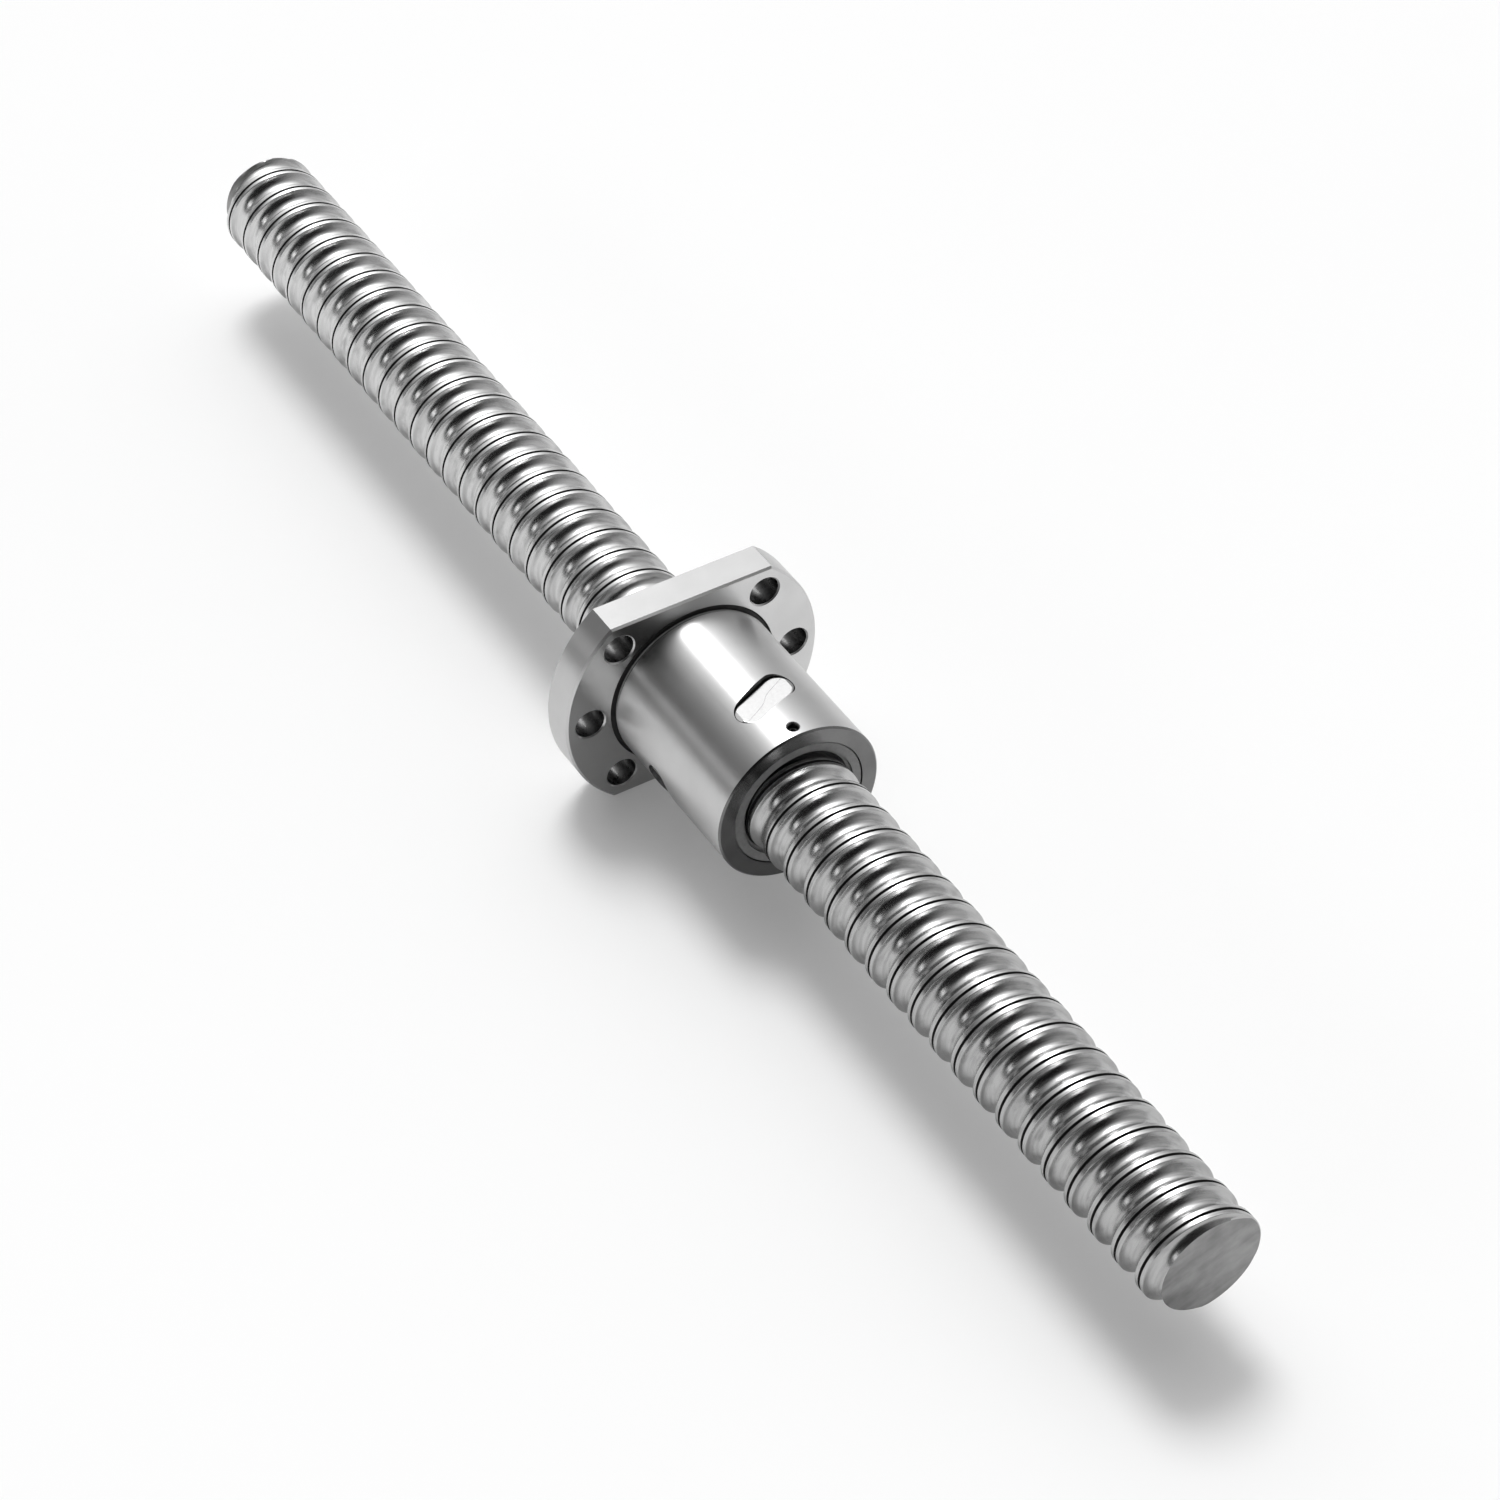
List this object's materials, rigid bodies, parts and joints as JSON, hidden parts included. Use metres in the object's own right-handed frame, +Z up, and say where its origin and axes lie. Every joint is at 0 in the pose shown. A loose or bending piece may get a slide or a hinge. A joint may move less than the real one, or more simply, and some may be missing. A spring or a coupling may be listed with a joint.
{
  "type": "ball screw",
  "caption": "Rolled ball screw shaft with a flanged ball nut: turning the nut on the shaft moves it along the helical track.",
  "frame": {"origin": "on the shaft's axis, in the plane of the flange's mounting face", "axes": "+X along the shaft, from the flange towards the nut's free end; +Z up, square to the flange's two flats"},
  "size_m": [0.502, 0.08, 0.062],
  "materials": {
    "rolled_steel": "rolled and polished",
    "ground_steel": "ground satin",
    "wiper": "matte",
    "black_steel": "black oxide",
    "insert": "fine satin",
    "ball_steel": "polished"
  },
  "bodies": {
    "shaft": {"screw_shaft": "rolled_steel"},
    "wipers": {"wiper_front": "wiper", "wiper_rear": "wiper"},
    "nut": {"ball_front_01": "ball_steel", "ball_front_02": "ball_steel", "ball_front_03": "ball_steel", "ball_front_04": "ball_steel", "ball_front_05": "ball_steel", "ball_front_06": "ball_steel", "ball_front_07": "ball_steel", "ball_front_08": "ball_steel", "ball_front_09": "ball_steel", "ball_front_10": "ball_steel", "ball_front_11": "ball_steel", "ball_front_12": "ball_steel", "ball_front_13": "ball_steel", "ball_front_14": "ball_steel", "ball_front_15": "ball_steel", "ball_front_16": "ball_steel", "ball_middle_01": "ball_steel", "ball_middle_02": "ball_steel", "ball_middle_03": "ball_steel", "ball_middle_04": "ball_steel", "ball_middle_05": "ball_steel", "ball_middle_06": "ball_steel", "ball_middle_07": "ball_steel", "ball_middle_08": "ball_steel", "ball_middle_09": "ball_steel", "ball_middle_10": "ball_steel", "ball_middle_11": "ball_steel", "ball_middle_12": "ball_steel", "ball_middle_13": "ball_steel", "ball_middle_14": "ball_steel", "ball_middle_15": "ball_steel", "ball_middle_16": "ball_steel", "ball_rear_01": "ball_steel", "ball_rear_02": "ball_steel", "ball_rear_03": "ball_steel", "ball_rear_04": "ball_steel", "ball_rear_05": "ball_steel", "ball_rear_06": "ball_steel", "ball_rear_07": "ball_steel", "ball_rear_08": "ball_steel", "ball_rear_09": "ball_steel", "ball_rear_10": "ball_steel", "ball_rear_11": "ball_steel", "ball_rear_12": "ball_steel", "ball_rear_13": "ball_steel", "ball_rear_14": "ball_steel", "ball_rear_15": "ball_steel", "ball_rear_16": "ball_steel", "nut_body": "ground_steel", "return_insert_front": "insert", "return_insert_middle": "insert", "return_insert_rear": "insert", "wiper_set_screw": "black_steel"}
  },
  "joints": [
    {"name": "nut_travel", "type": "slide", "parent": "shaft", "child": "wipers", "axis": [1, 0, 0], "range_m": [-0.24, 0.18]},
    {"name": "nut_turn", "type": "hinge", "parent": "wipers", "child": "nut", "pos_m": [0, 0, 0], "axis": [1, 0, 0], "range_deg": [-6480, 8640]}
  ],
  "couplings": [
    {"joint": "nut_travel", "follows": "nut_turn", "m_per_rad": -0.0015915}
  ]
}
